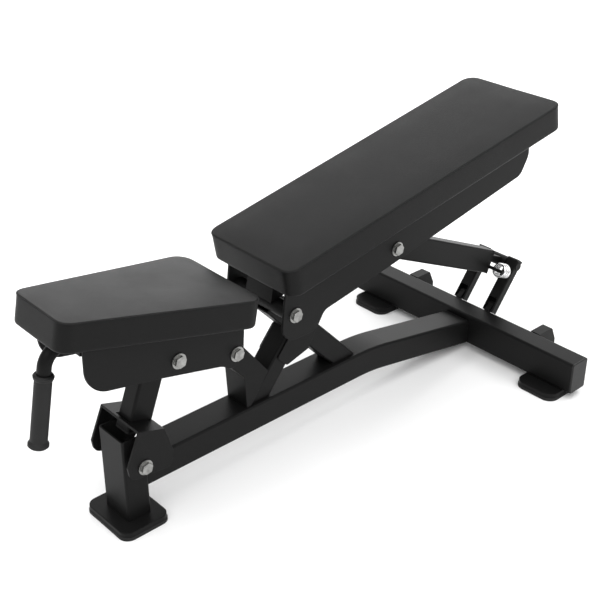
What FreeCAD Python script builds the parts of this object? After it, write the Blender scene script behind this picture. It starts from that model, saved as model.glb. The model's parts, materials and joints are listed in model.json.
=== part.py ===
import FreeCAD, Part
import math
import os

# Adjustable weight bench, millimetres. X runs from the seat end to the head end, Y across, Z up.
# Dimensions are measured from the floor under the middle of the front foot. The finished bench is
# moved so that its origin is on the floor under the middle of its outer box.

V = FreeCAD.Vector
WALL = 3.0                 # wall of the frame tubes
SHEET = 5.0                # folded side plates
TUBE_CORNER = 5.0          # outer corner radius of the frame tubes
FIT = 0.1                  # radial clearance of a shaft or bolt in its hole
GAP = 0.5                  # side clearance between parts that turn past each other

# Feet
PAD_T = 6.5                # rubber under each foot
PLATE_T = 10.0             # steel foot plate
FOOT_T = PAD_T + PLATE_T
FRONT_FOOT_LEN = 105.0
FRONT_FOOT_W = 136.0
FRONT_FOOT_R = 21.0
REAR_FOOT_X = (897.0, 1004.0)
REAR_FOOT_Y = (207.0, 309.0)
REAR_FOOT_R = 24.0

# Front leg and saddle
LEG_X = 2.0
LEG_DEPTH = 51.0
LEG_W = 76.0
LEG_TOP = 195.0
LEG_TOP_REAR = 140.0
SADDLE_HALF = 60.5
SADDLE_FRONT = (0.0, 221.0)
SADDLE_REAR = (54.0, 204.0)
SLOT_FRONT = 6.0
SLOT_GAP = 1.5
LEG_BOLT = (7.0, 142.0)

# Main beam and rear crossbar
BEAM_W = 70.0
BEAM_H = 59.0
BEAM_TOP = 133.5
BEAM_BEND_X = 620.0
BEAM_BEND_R = 450.0
CROSS_X = (937.0, 989.0)
CROSS_H = 74.0
CROSS_HALF = 329.0
CAP_T = 4.0

# Pivots, as (x, z)
SEAT_PIVOT = (213.0, 303.0)
POST_PIVOT = (83.0, 342.0)
BACK_PIVOT = (348.0, 337.0)
STRUT_PIVOT = (622.0, 386.0)
KNEE = (1074.0, 180.0)
LINK_PIVOT = (1010.0, 96.0)

# Uprights on the beam
STAND_W = 50.0
UPRIGHT_FOOT = (280.0, BEAM_TOP)
UPRIGHT_ANGLE = 50.6
UPRIGHT_DEPTH = 42.0
UPRIGHT_LEN = 185.0
BRACE_FOOT_X = 540.0
BRACE_DEPTH = 47.0
GUSSET_T = 4.0
BUSH_LEN = 25.0
ARM_FOOT = (271.0, BEAM_TOP)
ARM_BEND = (266.0, 206.0)
ARM_HALF = 30.0
ARM_VALLEY = (326.0, 197.0)
ARM_EYE_R = 25.0
BACK_SLEEVE_R = 16.5
BACK_SLEEVE_BORE = 12.5
SEAT_SLEEVE_R = 18.0
SEAT_SLEEVE_BORE = 13.0

# Seat, in its own frame: u along the pad from its front edge, w up from its top face
SEAT_ORIGIN = (-137.8, 499.9)
SEAT_TILT = 11.4
SEAT_LEN = 392.0
SEAT_HALF_FRONT = 79.0
SEAT_HALF_REAR = 124.0
SEAT_PLATE_HALF = 75.0
SEAT_TRAY = (49.0, 364.0)

# Back, in its own frame
BACK_ORIGIN = (300.4, 451.3)
BACK_TILT = -10.75
BACK_LEN = 789.0
BACK_HALF_FRONT = 123.0
BACK_HALF_REAR = 131.0
BACK_PLATE_HALF = 85.0
SPINE_HALF = 37.0
SPINE_END = 238.0
SPINE_FACE_TOP = 27.0
SPINE_FACE_LOW = 9.0
SPINE_DEPTH = 43.0
CROSS_TUBE_R = 14.0
CROSS_TUBE_AT = (643.0, -115.0)
BACK_TRAY = (17.0, 723.0)

# Pads
SEAT_PAD_H = 54.0
BACK_PAD_H = 57.0
PAD_CORNER = 25.0
PAD_EDGE = 5.0
BOARD_T = 12.0
BOARD_INSET = 12.0
TRAY_T = 4.0
SCREW_R = 4.0
SCREW_SPREAD = 0.72
SCREW_HEAD_R = 8.0
SCREW_HEAD_T = 4.0

# Seat post
POST_W = 40.0
POST_DEPTH = 50.0
POST_GUIDE = (33.0, 210.0)
POST_BELOW_GUIDE = 22.0
POST_ABOVE = 26.0

# Handle under the front of the seat, in the seat frame
HANDLE_R = 12.7
HANDLE_U = 25.5
HANDLE_W = -74.0
HANDLE_BEND = 38.0
HANDLE_ROOT_U = 77.0
GRIP_TOP = -124.0
GRIP_BOTTOM = -262.0
GRIP_R = 15.5
GRIP_FLANGE_R = 18.5
GRIP_FLANGE_T = 8.0

# Strut, knee and link bars
STRUT_W = 40.0
STRUT_DEPTH = 56.0
STRUT_DROP = 8.0          # tube axis below the line between its two pivots
STRUT_FRONT = 32.0         # tube beyond the strut pivot
STRUT_GAP = 54.0           # from the tube's end to the knee
STRUT_HOLE_R = 18.2
KNEE_AXLE_R = 8.0
KNEE_BARREL_R = 14.0
LINK_Y = (29.0, 58.0)
LINK_DEPTH = 22.0
SPRING_R = 15.5            # to the middle of the wire
SPRING_WIRE_R = 2.5
SPRING_TURNS = 3
SPRING_LEN = 26.0
SPRING_DROP = 19.0
TONGUE_W = 30.0
TONGUE_TOP = 8.0
TONGUE_LOW = 7.0
END_PLATE_T = 5.0
PEG_R = 4.0
PEG_REACH = 60.0
LINK_BEYOND = 11.3         # bar beyond the knee
LINK_BELOW = 17.5          # bar below its lower pivot
LINK_OPEN = 17.0           # front wall cut away round the lower pivot
LINK_PIN_R = 5.0
LUG_T = 12.0
LUG_R = 7.4
LUG_ROOT = (-17.0, -6.0)   # lower and upper edge at the crossbar, from the pivot height
KNEE_HEAD_R = 10.0
KNEE_HEAD_T = 2.0

# Transport wheels
WHEEL_X = 1022.0
WHEEL_Z = 34.0
WHEEL_R = 25.0
WHEEL_W = 16.0
WHEEL_Y = 187.0
WHEEL_HUB_R = 18.0
AXLE_R = 4.0
BRACKET_HALF = 13.0
BRACKET_T = 3.0
BRACKET_REAR = 1049.0
BRACKET_TOP_REAR = 1034.0

# Fasteners
BOLT_R = 8.0
WASHER_R = 15.0
WASHER_T = 2.5
HEAD_FLATS = 21.0
HEAD_T = 6.0
SPACER_R = 13.0

PARTS = {}


# ---------------------------------------------------------------- helpers

def unit(v):
    return v * (1.0 / v.Length)


def outline(points):
    """Closed wire in the XY plane; each point is (x, y) or (x, y, corner radius)."""
    count = len(points)
    corners = [V(p[0], p[1], 0) for p in points]
    radii = [p[2] if len(p) > 2 else 0.0 for p in points]
    runs = []
    for i in range(count):
        p = corners[i]
        if radii[i] <= 0:
            runs.append((p, None, p))
            continue
        to_prev = unit(corners[i - 1] - p)
        to_next = unit(corners[(i + 1) % count] - p)
        half = to_prev.getAngle(to_next) / 2.0
        cut = radii[i] / math.tan(half)
        middle = unit(to_prev + to_next)
        centre = p + middle * (radii[i] / math.sin(half))
        runs.append((p + to_prev * cut, centre - middle * radii[i], p + to_next * cut))
    edges = []
    for i in range(count):
        start, mid, end = runs[i]
        if mid is not None:
            edges.append(Part.Arc(start, mid, end).toShape())
        following = runs[(i + 1) % count][0]
        if (following - end).Length > 1e-6:
            edges.append(Part.makeLine(end, following))
    return Part.Wire(edges)


def slab(points, z0, z1):
    """Outline in the XY plane raised from z0 to z1."""
    solid = Part.Face(outline(points)).extrude(V(0, 0, z1 - z0))
    solid.translate(V(0, 0, z0))
    return solid


def plate(points, y0, y1):
    """Outline in the XZ plane, filling y0 to y1."""
    solid = slab(points, 0, y1 - y0)
    solid.rotate(V(0, 0, 0), V(1, 0, 0), 90)
    solid.translate(V(0, y1, 0))
    return solid


def block(x0, x1, y0, y1, z0, z1):
    return Part.makeBox(x1 - x0, y1 - y0, z1 - z0, V(x0, y0, z0))


def rod(point, radius, y0, y1):
    """Cylinder along Y through (x, z)."""
    return Part.makeCylinder(radius, y1 - y0, V(point[0], y0, point[1]), V(0, 1, 0))


def sleeve(point, outer, inner, y0, y1):
    return rod(point, outer, y0, y1).cut(rod(point, inner, y0 - 1, y1 + 1))


def section(depth, width, corner):
    """Rounded rectangle points, depth along the first axis."""
    a = depth / 2.0
    b = width / 2.0
    return [(-a, -b, corner), (a, -b, corner), (a, b, corner), (-a, b, corner)]


def box_tube(start, end, depth, width, wall=WALL, corner=TUBE_CORNER):
    """Rectangular tube in the XZ plane from start to end, width along Y."""
    dx = end[0] - start[0]
    dz = end[1] - start[1]
    length = math.hypot(dx, dz)
    tube = slab(section(depth, width, corner), 0, length)
    bore = slab(section(depth - 2 * wall, width - 2 * wall, max(corner - wall, 1.0)), -1, length + 1)
    tube = tube.cut(bore)
    tube.rotate(V(0, 0, 0), V(0, 1, 0), math.degrees(math.atan2(dx, dz)))
    tube.translate(V(start[0], 0, start[1]))
    return tube


def along(start, end, distance, side=0.0):
    """Point at a distance along start-end, moved sideways (up for a run toward +X)."""
    dx = end[0] - start[0]
    dz = end[1] - start[1]
    length = math.hypot(dx, dz)
    ux = dx / length
    uz = dz / length
    return (start[0] + ux * distance - uz * side, start[1] + uz * distance + ux * side)


def seat_place(shape):
    moved = shape.copy()
    moved.rotate(V(0, 0, 0), V(0, 1, 0), SEAT_TILT)
    moved.translate(V(SEAT_ORIGIN[0], 0, SEAT_ORIGIN[1]))
    return moved


def back_place(shape):
    moved = shape.copy()
    moved.rotate(V(0, 0, 0), V(0, 1, 0), BACK_TILT)
    moved.translate(V(BACK_ORIGIN[0], 0, BACK_ORIGIN[1]))
    return moved


def hexagon(point, y0, y1, flats=HEAD_FLATS):
    r = flats / math.sqrt(3.0)
    corners = []
    for i in range(6):
        a = math.radians(60 * i + 12)
        corners.append((point[0] + r * math.cos(a), point[1] + r * math.sin(a)))
    blank = plate(corners, y0, y1)
    chamfer = Part.makeCone(r + 2.6, r - 0.4, y1 - y0, V(point[0], y0, point[1]), V(0, 1, 0))
    if y1 < 0:
        chamfer = Part.makeCone(r - 0.4, r + 2.6, y1 - y0, V(point[0], y0, point[1]), V(0, 1, 0))
    return blank.common(chamfer)


def head_and_washer(point, face, hole):
    """Washer and hex on the outer side of the plate face at y = face."""
    side = 1.0 if face > 0 else -1.0
    w = sorted((face, face + side * WASHER_T))
    h = sorted((face + side * WASHER_T, face + side * (WASHER_T + HEAD_T)))
    washer = sleeve(point, WASHER_R, hole + FIT, w[0], w[1])
    head = hexagon(point, h[0], h[1])
    return [washer, head]


def cross_bolt(point, half):
    """Bolt across the bench with a hex and washer outside each plate; half is the outer face."""
    reach = half + WASHER_T
    solids = [rod(point, BOLT_R, -reach, reach)]
    for face in (-half, half):
        solids += head_and_washer(point, face, BOLT_R)
    return Part.makeCompound(solids)


def both_sides(make):
    """Compound of a solid made for side -1 and side +1."""
    return Part.makeCompound([make(-1), make(1)])


def left_right(name, make):
    """The same piece on both sides as two parts; left is +Y."""
    PARTS[name + "_right"] = make(-1)
    PARTS[name + "_left"] = make(1)


def span(side, near, far):
    """Sorted y range on one side of the bench."""
    return sorted((side * near, side * far))


# ---------------------------------------------------------------- feet, leg, saddle

def foot_points(x0, x1, y0, y1, r):
    return [(x0, y0, r), (x1, y0, r), (x1, y1, r), (x0, y1, r)]


def front_foot():
    a = FRONT_FOOT_LEN / 2.0
    b = FRONT_FOOT_W / 2.0
    rubber = slab(foot_points(-a, a, -b, b, FRONT_FOOT_R), 0, PAD_T)
    inset = 1.5
    steel = slab(foot_points(-a + inset, a - inset, -b + inset, b - inset, FRONT_FOOT_R - inset), PAD_T, FOOT_T)
    PARTS["front_foot_rubber"] = round_edges(rubber, 2.0, PAD_T)
    PARTS["front_foot_plate"] = round_edges(steel, 1.5, FOOT_T)


def round_edges(solid, radius, z):
    """Fillet the flat rim edges that lie at height z."""
    rim = [e for e in solid.Edges if abs(e.BoundBox.ZMin - z) < 1e-4 and abs(e.BoundBox.ZMax - z) < 1e-4]
    return solid.makeFillet(radius, rim)


def front_leg():
    tube = box_tube((LEG_X, FOOT_T), (LEG_X, LEG_TOP), LEG_DEPTH, LEG_W)
    rear = LEG_X + LEG_DEPTH / 2.0
    inner = LEG_W / 2.0 - WALL
    tube = tube.cut(block(rear - 2 * WALL, rear + 10, -inner, inner, LEG_TOP_REAR, LEG_TOP + 10))
    tube = tube.cut(rod(LEG_BOLT, BOLT_R + FIT, -LEG_W, LEG_W))
    PARTS["front_leg"] = tube


def saddle_side(side):
    lo, hi = span(side, SADDLE_HALF - SHEET, SADDLE_HALF)
    outline_points = [SADDLE_FRONT + (2.0,), (-29.0, 154.0, 6.0), (-25.0, 125.0, 19.0), (66.0, 116.0, 12.0),
                      (70.0, 150.0, 10.0), SADDLE_REAR + (2.0,)]
    return plate(outline_points, lo, hi)


def saddle_bracket():
    top = plate([SADDLE_FRONT, along(SADDLE_FRONT, SADDLE_REAR, 0, -SHEET),
                 along(SADDLE_REAR, SADDLE_FRONT, 0, SHEET), SADDLE_REAR], -SADDLE_HALF + 1, SADDLE_HALF - 1)
    half = POST_W / 2.0 + SLOT_GAP
    slot = block(SLOT_FRONT, SADDLE_REAR[0] + 10, -half, half, SADDLE_REAR[1] - 40, SADDLE_FRONT[1] + 20)
    bracket = saddle_side(-1).fuse(saddle_side(1)).fuse(top).cut(slot)
    bracket = bracket.cut(rod(LEG_BOLT, BOLT_R + FIT, -SADDLE_HALF - 1, SADDLE_HALF + 1))
    PARTS["saddle_bracket"] = bracket.removeSplitter()


def leg_bolt():
    PARTS["leg_bolt_set"] = cross_bolt(LEG_BOLT, SADDLE_HALF)
    inner = LEG_W / 2.0
    outer = SADDLE_HALF - SHEET
    PARTS["leg_bolt_spacers"] = both_sides(
        lambda side: sleeve(LEG_BOLT, SPACER_R, BOLT_R + FIT, *span(side, inner, outer)))


# ---------------------------------------------------------------- beam and crossbar

def swept_section(path, depth, width, corner, start, heading):
    profile = outline(section(depth, width, corner))
    profile.rotate(V(0, 0, 0), V(0, 1, 0), heading)
    profile.translate(start)
    return path.makePipeShell([profile], True, False)


def beam_path(front, rear):
    centre = BEAM_TOP - BEAM_H / 2.0
    bend = V(BEAM_BEND_X, 0, centre)
    end_z = FOOT_T + BEAM_H / 2.0 + 0.5
    end = V(CROSS_X[0], 0, end_z)
    fall = unit(end - bend)
    half = math.acos(fall.x) / 2.0
    cut = BEAM_BEND_R * math.tan(half)
    start_arc = bend - V(cut, 0, 0)
    end_arc = bend + fall * cut
    centre_arc = start_arc - V(0, 0, BEAM_BEND_R)
    middle = centre_arc + V(math.sin(half), 0, math.cos(half)) * BEAM_BEND_R
    tail = end + fall * rear
    return Part.Wire([Part.makeLine(V(front, 0, centre), start_arc),
                      Part.Arc(start_arc, middle, end_arc).toShape(),
                      Part.makeLine(end_arc, tail)])


def main_beam():
    front = LEG_X + LEG_DEPTH / 2.0
    centre = BEAM_TOP - BEAM_H / 2.0
    path = beam_path(front, 30.0)
    outer = swept_section(path, BEAM_H, BEAM_W, TUBE_CORNER, V(front, 0, centre), 90)
    inner = swept_section(path, BEAM_H - 2 * WALL, BEAM_W - 2 * WALL, TUBE_CORNER - WALL,
                          V(front, 0, centre), 90)
    beam = outer.cut(inner)
    beyond = block(CROSS_X[0], CROSS_X[0] + 100, -BEAM_W, BEAM_W, -50, BEAM_TOP + 50)
    PARTS["main_beam"] = beam.cut(beyond)


def rear_crossbar():
    x_mid = (CROSS_X[0] + CROSS_X[1]) / 2.0
    z_mid = FOOT_T + CROSS_H / 2.0
    depth = CROSS_X[1] - CROSS_X[0]
    half = CROSS_HALF - CAP_T
    tube = slab(section(depth, CROSS_H, TUBE_CORNER), -half, half)
    bore = slab(section(depth - 2 * WALL, CROSS_H - 2 * WALL, TUBE_CORNER - WALL), -half - 1, half + 1)
    tube = tube.cut(bore)
    tube.rotate(V(0, 0, 0), V(1, 0, 0), 90)
    tube.translate(V(x_mid, 0, z_mid))
    PARTS["rear_crossbar"] = tube

    def cap(side):
        flange = slab(section(depth, CROSS_H, TUBE_CORNER), 0, CAP_T)
        flange = round_edges(flange, 2.0, CAP_T)
        plug = slab(section(depth - 2 * WALL - 0.4, CROSS_H - 2 * WALL - 0.4, 1.5), -12, 0)
        piece = flange.fuse(plug)
        piece.rotate(V(0, 0, 0), V(1, 0, 0), -90 * side)
        piece.translate(V(x_mid, side * half, z_mid))
        return piece

    PARTS["crossbar_end_caps"] = both_sides(cap)


def rear_feet():
    x0, x1 = REAR_FOOT_X

    def rubber(side):
        y0, y1 = span(side, *REAR_FOOT_Y)
        return round_edges(slab(foot_points(x0, x1, y0, y1, REAR_FOOT_R), 0, PAD_T), 2.0, PAD_T)

    def steel(side):
        y0, y1 = span(side, REAR_FOOT_Y[0] + 1.5, REAR_FOOT_Y[1] - 1.5)
        points = foot_points(x0 + 1.5, x1 - 1.5, y0, y1, REAR_FOOT_R - 1.5)
        return round_edges(slab(points, PAD_T, FOOT_T), 1.5, FOOT_T)

    left_right("rear_foot_rubber", rubber)
    left_right("rear_foot_plate", steel)


# ---------------------------------------------------------------- uprights

def above_beam(shape):
    """Keep only what stands on top of the beam."""
    return largest(shape.cut(block(100, 800, -80, 80, -50, BEAM_TOP)))


def largest(shape):
    return max(shape.Solids, key=lambda solid: solid.Volume)


def hinge_brace():
    foot = (BRACE_FOOT_X, BEAM_TOP)
    reach = math.hypot(foot[0] - BACK_PIVOT[0], BACK_PIVOT[1] - foot[1])
    tube = box_tube(along(foot, BACK_PIVOT, -60), along(foot, BACK_PIVOT, reach), BRACE_DEPTH, STAND_W)
    tube = tube.cut(rod(BACK_PIVOT, BACK_SLEEVE_R, -100, 100))
    PARTS["hinge_brace"] = above_beam(tube)


def upright_tube():
    c = math.cos(math.radians(UPRIGHT_ANGLE))
    s = math.sin(math.radians(UPRIGHT_ANGLE))
    half = UPRIGHT_DEPTH / 2.0
    base = (UPRIGHT_FOOT[0] + s * half, UPRIGHT_FOOT[1] - c * half)
    top = (base[0] + c * UPRIGHT_LEN, base[1] + s * UPRIGHT_LEN)
    tube = box_tube(along(base, top, -60), top, UPRIGHT_DEPTH, STAND_W)
    foot = (BRACE_FOOT_X, BEAM_TOP)
    lower = BRACE_DEPTH / 2.0
    behind = plate([along(foot, BACK_PIVOT, -80, lower), along(foot, BACK_PIVOT, 400, lower),
                    along(foot, BACK_PIVOT, 400, -200), along(foot, BACK_PIVOT, -80, -200)], -80, 80)
    PARTS["upright_tube"] = above_beam(tube.cut(behind))


def frame_gussets():
    points = [(377.0, 188.0, 5.0), (434.0, 204.0, 3.0), (461.0, 250.0, 8.0), (432.0, 280.0, 10.0),
              (388.0, 256.0, 8.0), (352.0, 213.0, 6.0)]
    inner = STAND_W / 2.0
    PARTS["frame_gussets"] = both_sides(lambda side: plate(points, *span(side, inner, inner + GUSSET_T)))


def tangent(point, centre, radius, side):
    """Where the tangent from a point touches a circle; side +1 or -1 picks which one."""
    dx = centre[0] - point[0]
    dz = centre[1] - point[1]
    reach = math.hypot(dx, dz)
    angle = math.atan2(dz, dx) + side * math.asin(radius / reach)
    length = math.sqrt(reach ** 2 - radius ** 2)
    return (point[0] + length * math.cos(angle), point[1] + length * math.sin(angle))


def seat_arm():
    half = ARM_HALF
    under = tangent(ARM_BEND, SEAT_PIVOT, ARM_EYE_R, 1)
    over = tangent(ARM_VALLEY, SEAT_PIVOT, ARM_EYE_R, -1)
    profile = [ARM_FOOT, ARM_BEND + (14.0,), under, over, ARM_VALLEY, UPRIGHT_FOOT]

    def cheek(side):
        lo, hi = span(side, half - GUSSET_T, half)
        return plate(profile, lo, hi).fuse(rod(SEAT_PIVOT, ARM_EYE_R, lo, hi)).removeSplitter()

    web = plate([ARM_FOOT, ARM_BEND, under, along(ARM_BEND, under, 60, -GUSSET_T),
                 along(ARM_BEND, under, 3, -GUSSET_T), (ARM_FOOT[0] + 2.0, ARM_FOOT[1] + GUSSET_T)],
                -half + GUSSET_T, half - GUSSET_T)
    arm = cheek(-1).fuse(cheek(1)).fuse(web)
    PARTS["seat_arm"] = arm.cut(rod(SEAT_PIVOT, SEAT_SLEEVE_R, -80, 80)).removeSplitter()


def hinge_sleeve(name, pivot, outer, bore, half):
    """Cross tube welded to the stand, with a plastic bush in each end."""
    PARTS[name + "_sleeve"] = sleeve(pivot, outer, bore, -half, half)
    PARTS[name + "_bushes"] = both_sides(
        lambda side: sleeve(pivot, bore, BOLT_R + FIT, *span(side, half - BUSH_LEN, half)))


# ---------------------------------------------------------------- pads and their plates

def pad_block(length, half_front, half_rear, inset, w0, w1, corner):
    """Tapered slab with rounded plan corners, in the pad's own frame."""
    return slab([(inset, -half_front + inset, corner), (length - inset, -half_rear + inset, corner),
                 (length - inset, half_rear - inset, corner), (inset, half_front - inset, corner)], w0, w1)


def screw_places(length, half):
    return [(u, v) for u in (length * 0.2, length * 0.8) for v in (-half * SCREW_SPREAD, half * SCREW_SPREAD)]


def cushion(name, length, height, half_front, half_rear, tray, place):
    """Pad with its board let into the underside, the tray below and four screws."""
    pad = pad_block(length, half_front, half_rear, 0, -height, 0, PAD_CORNER)
    pad = round_edges(pad, PAD_EDGE, 0)
    board = pad_block(length, half_front, half_rear, BOARD_INSET, -height, -height + BOARD_T, PAD_CORNER - 8)
    pad = pad.cut(board)
    u0, u1, half_tray = tray
    sheet = block(u0, u1, -half_tray, half_tray, -height - TRAY_T, -height)
    screws = []
    for u, v in screw_places(length, half_tray):
        hole = Part.makeCylinder(SCREW_R, TRAY_T + BOARD_T - 2, V(u, v, -height - TRAY_T))
        head = Part.makeCylinder(SCREW_HEAD_R, SCREW_HEAD_T, V(u, v, -height - TRAY_T - SCREW_HEAD_T))
        board = board.cut(hole)
        sheet = sheet.cut(hole)
        screws.append(hole.fuse(head).removeSplitter())
    PARTS[name + "_pad"] = place(pad)
    PARTS[name + "_pad_board"] = place(board)
    PARTS[name + "_tray"] = place(sheet)
    PARTS[name + "_pad_screws"] = place(Part.makeCompound(screws))


def bench_point(u, w, origin, tilt):
    """(x, z) of a point given in a tilted part's own frame."""
    c = math.cos(math.radians(tilt))
    s = math.sin(math.radians(tilt))
    return (origin[0] + u * c + w * s, origin[1] - u * s + w * c)


def seat_plate(side):
    top_front = bench_point(47.0, -SEAT_PAD_H, SEAT_ORIGIN, SEAT_TILT)
    top_rear = bench_point(SEAT_LEN - 22.0, -SEAT_PAD_H, SEAT_ORIGIN, SEAT_TILT)
    points = [top_front, (-104.0, 352.0, 52.0), (45.0, 321.5, 60.0), (178.0, 290.0, 40.0),
              (208.0, 271.0, 18.0), (229.0, 300.0, 18.0), (232.0, 352.0, 14.0), top_rear]
    lo, hi = span(side, SEAT_PLATE_HALF - SHEET, SEAT_PLATE_HALF)
    shape = plate(points, lo, hi)
    for pivot in (SEAT_PIVOT, POST_PIVOT):
        shape = shape.cut(rod(pivot, BOLT_R, lo - 1, hi + 1))
    return shape


def back_plate(side):
    top_front = bench_point(15.0, -BACK_PAD_H, BACK_ORIGIN, BACK_TILT)
    top_rear = bench_point(729.0, -BACK_PAD_H, BACK_ORIGIN, BACK_TILT)
    points = [top_front, (313.0, 284.0, 34.0), (402.0, 284.0, 26.0), (424.0, 319.5, 22.0),
              (610.0, 354.5, 200.0), (1010.0, 437.5, 26.0), (1033.0, 478.0, 30.0), top_rear]
    lo, hi = span(side, BACK_PLATE_HALF - SHEET, BACK_PLATE_HALF)
    shape = plate(points, lo, hi)
    for pivot in (BACK_PIVOT, STRUT_PIVOT):
        shape = shape.cut(rod(pivot, BOLT_R, lo - 1, hi + 1))
    return shape


def back_spine():
    """Channel under the tray at the hinge end, closed at its front by a sloping face."""
    top = -BACK_PAD_H - TRAY_T
    low = top - SPINE_DEPTH
    profile = [(SPINE_FACE_TOP, top), (SPINE_END, top), (SPINE_END - 14.0, low), (SPINE_FACE_LOW, low)]
    inside = [(SPINE_FACE_TOP + WALL, top + 1), (SPINE_END + 20, top + 1), (SPINE_END + 20, low + WALL),
              (SPINE_FACE_LOW + WALL + 2, low + WALL)]
    solid = plate(profile, -SPINE_HALF, SPINE_HALF)
    hollow = plate(inside, -SPINE_HALF + WALL, SPINE_HALF - WALL)
    PARTS["back_spine"] = back_place(solid.cut(hollow))


def cross_tube(name, u, w, half, place):
    """Round tube between two side plates."""
    tube = Part.makeCylinder(CROSS_TUBE_R, 2 * half, V(u, -half, w), V(0, 1, 0))
    bore = Part.makeCylinder(CROSS_TUBE_R - WALL, 2 * half, V(u, -half, w), V(0, 1, 0))
    PARTS[name] = place(tube.cut(bore))


# ---------------------------------------------------------------- seat post and handle

def seat_post():
    down = along(POST_PIVOT, POST_GUIDE, math.hypot(POST_PIVOT[0] - POST_GUIDE[0],
                                                    POST_PIVOT[1] - POST_GUIDE[1]) + POST_BELOW_GUIDE)
    up = along(POST_PIVOT, POST_GUIDE, -POST_ABOVE)
    tube = box_tube(down, up, POST_DEPTH, POST_W)
    tube = tube.cut(rod(POST_PIVOT, SPACER_R, -POST_W, POST_W))
    PARTS["seat_post"] = tube
    half = SEAT_PLATE_HALF - SHEET - GAP
    PARTS["seat_post_sleeve"] = sleeve(POST_PIVOT, SPACER_R, BOLT_R + FIT, -half, half)
    plug = box_plug(down, POST_PIVOT, POST_DEPTH, POST_W)
    PARTS["seat_post_cap"] = plug


def box_plug(end, inward, depth, width):
    """Plastic cap on a rectangular tube's end, its plug pushed inside."""
    dx = inward[0] - end[0]
    dz = inward[1] - end[1]
    flange = slab(section(depth, width, TUBE_CORNER), -CAP_T, 0)
    plug = slab(section(depth - 2 * WALL, width - 2 * WALL, TUBE_CORNER - WALL), 0, 12)
    cap = flange.fuse(plug).removeSplitter()
    cap.rotate(V(0, 0, 0), V(0, 1, 0), math.degrees(math.atan2(dx, dz)))
    cap.translate(V(end[0], 0, end[1]))
    return cap


def handle():
    """Bent tube under the seat's front edge, its grip square to the pad."""
    root = V(HANDLE_ROOT_U, 0, HANDLE_W)
    corner = V(HANDLE_U, 0, HANDLE_W)
    end = V(HANDLE_U, 0, GRIP_BOTTOM + GRIP_FLANGE_T)
    start_arc = corner + V(HANDLE_BEND, 0, 0)
    end_arc = corner - V(0, 0, HANDLE_BEND)
    centre = corner + V(HANDLE_BEND, 0, -HANDLE_BEND)
    middle = centre + V(-1, 0, 1) * (HANDLE_BEND / math.sqrt(2.0))
    path = Part.Wire([Part.makeLine(root, start_arc), Part.Arc(start_arc, middle, end_arc).toShape(),
                      Part.makeLine(end_arc, end)])
    rings = []
    for radius in (HANDLE_R, HANDLE_R - 2.5):
        circle = Part.Wire([Part.makeCircle(radius, root, V(1, 0, 0))])
        rings.append(path.makePipeShell([circle], True, False))
    root_plate = block(HANDLE_ROOT_U, HANDLE_ROOT_U + SHEET, -24, 24, HANDLE_W - 18, -SEAT_PAD_H - TRAY_T)
    tube = rings[0].cut(rings[1]).fuse(root_plate)
    PARTS["handle_tube"] = seat_place(tube.removeSplitter())
    PARTS["handle_grip"] = seat_place(grip())


def grip():
    """Turned rubber sleeve: a flange at each end, closed at the bottom."""
    length = GRIP_TOP - GRIP_BOTTOM
    profile = [V(HANDLE_R, 0, 0), V(GRIP_FLANGE_R - 2, 0, 0), V(GRIP_FLANGE_R, 0, -3),
               V(GRIP_FLANGE_R - 1, 0, -GRIP_FLANGE_T), V(GRIP_R, 0, -GRIP_FLANGE_T - 3),
               V(GRIP_R, 0, -length + GRIP_FLANGE_T + 5), V(GRIP_FLANGE_R, 0, -length + GRIP_FLANGE_T),
               V(GRIP_FLANGE_R, 0, -length + 3), V(GRIP_FLANGE_R - 3, 0, -length), V(0, 0, -length),
               V(0, 0, -length + GRIP_FLANGE_T), V(HANDLE_R, 0, -length + GRIP_FLANGE_T), V(HANDLE_R, 0, 0)]
    turned = Part.Face(Part.makePolygon(profile)).revolve(V(0, 0, 0), V(0, 0, 1), 360)
    turned.translate(V(HANDLE_U, 0, GRIP_TOP))
    return turned


# ---------------------------------------------------------------- strut, knee and link bars

def strut_place(shape):
    """Put a shape drawn with s along +X from the tube's rear end onto the strut's line."""
    dx = KNEE[0] - STRUT_PIVOT[0]
    dz = KNEE[1] - STRUT_PIVOT[1]
    end = along(KNEE, STRUT_PIVOT, STRUT_GAP)
    moved = shape.copy()
    moved.rotate(V(0, 0, 0), V(0, 1, 0), -math.degrees(math.atan2(dz, dx)))
    moved.translate(V(end[0], 0, end[1]))
    return moved


def strut():
    front = along(KNEE, STRUT_PIVOT, strut_span() + STRUT_FRONT, STRUT_DROP)
    rear = along(KNEE, STRUT_PIVOT, STRUT_GAP + END_PLATE_T, STRUT_DROP)
    tube = box_tube(front, rear, STRUT_DEPTH, STRUT_W)
    PARTS["strut_tube"] = tube.cut(rod(STRUT_PIVOT, STRUT_HOLE_R, -STRUT_W, STRUT_W))
    a = STRUT_DEPTH / 2.0
    wide = LINK_Y[0] - GAP
    closing = plate([(-END_PLATE_T, -a - STRUT_DROP), (0, -a - STRUT_DROP), (0, a - STRUT_DROP),
                     (-END_PLATE_T, a - STRUT_DROP)], -STRUT_W / 2.0, STRUT_W / 2.0)
    peg = rod((0, -SPRING_DROP), PEG_R, -PEG_REACH, PEG_REACH)
    tongue = plate([(0, -TONGUE_LOW), (STRUT_GAP, -TONGUE_LOW), (STRUT_GAP, TONGUE_TOP), (0, TONGUE_TOP)],
                   -TONGUE_W / 2.0, TONGUE_W / 2.0)
    barrel = Part.makeCylinder(KNEE_BARREL_R, 2 * wide, V(STRUT_GAP, -wide, 0), V(0, 1, 0))
    bore = Part.makeCylinder(KNEE_AXLE_R + FIT, 2 * wide + 2, V(STRUT_GAP, -wide - 1, 0), V(0, 1, 0))
    head = closing.fuse([peg, tongue, barrel]).cut(bore)
    PARTS["strut_head"] = strut_place(head.removeSplitter())
    PARTS["knee_springs"] = both_sides(spring)


def strut_span():
    return math.hypot(KNEE[0] - STRUT_PIVOT[0], KNEE[1] - STRUT_PIVOT[1])


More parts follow.
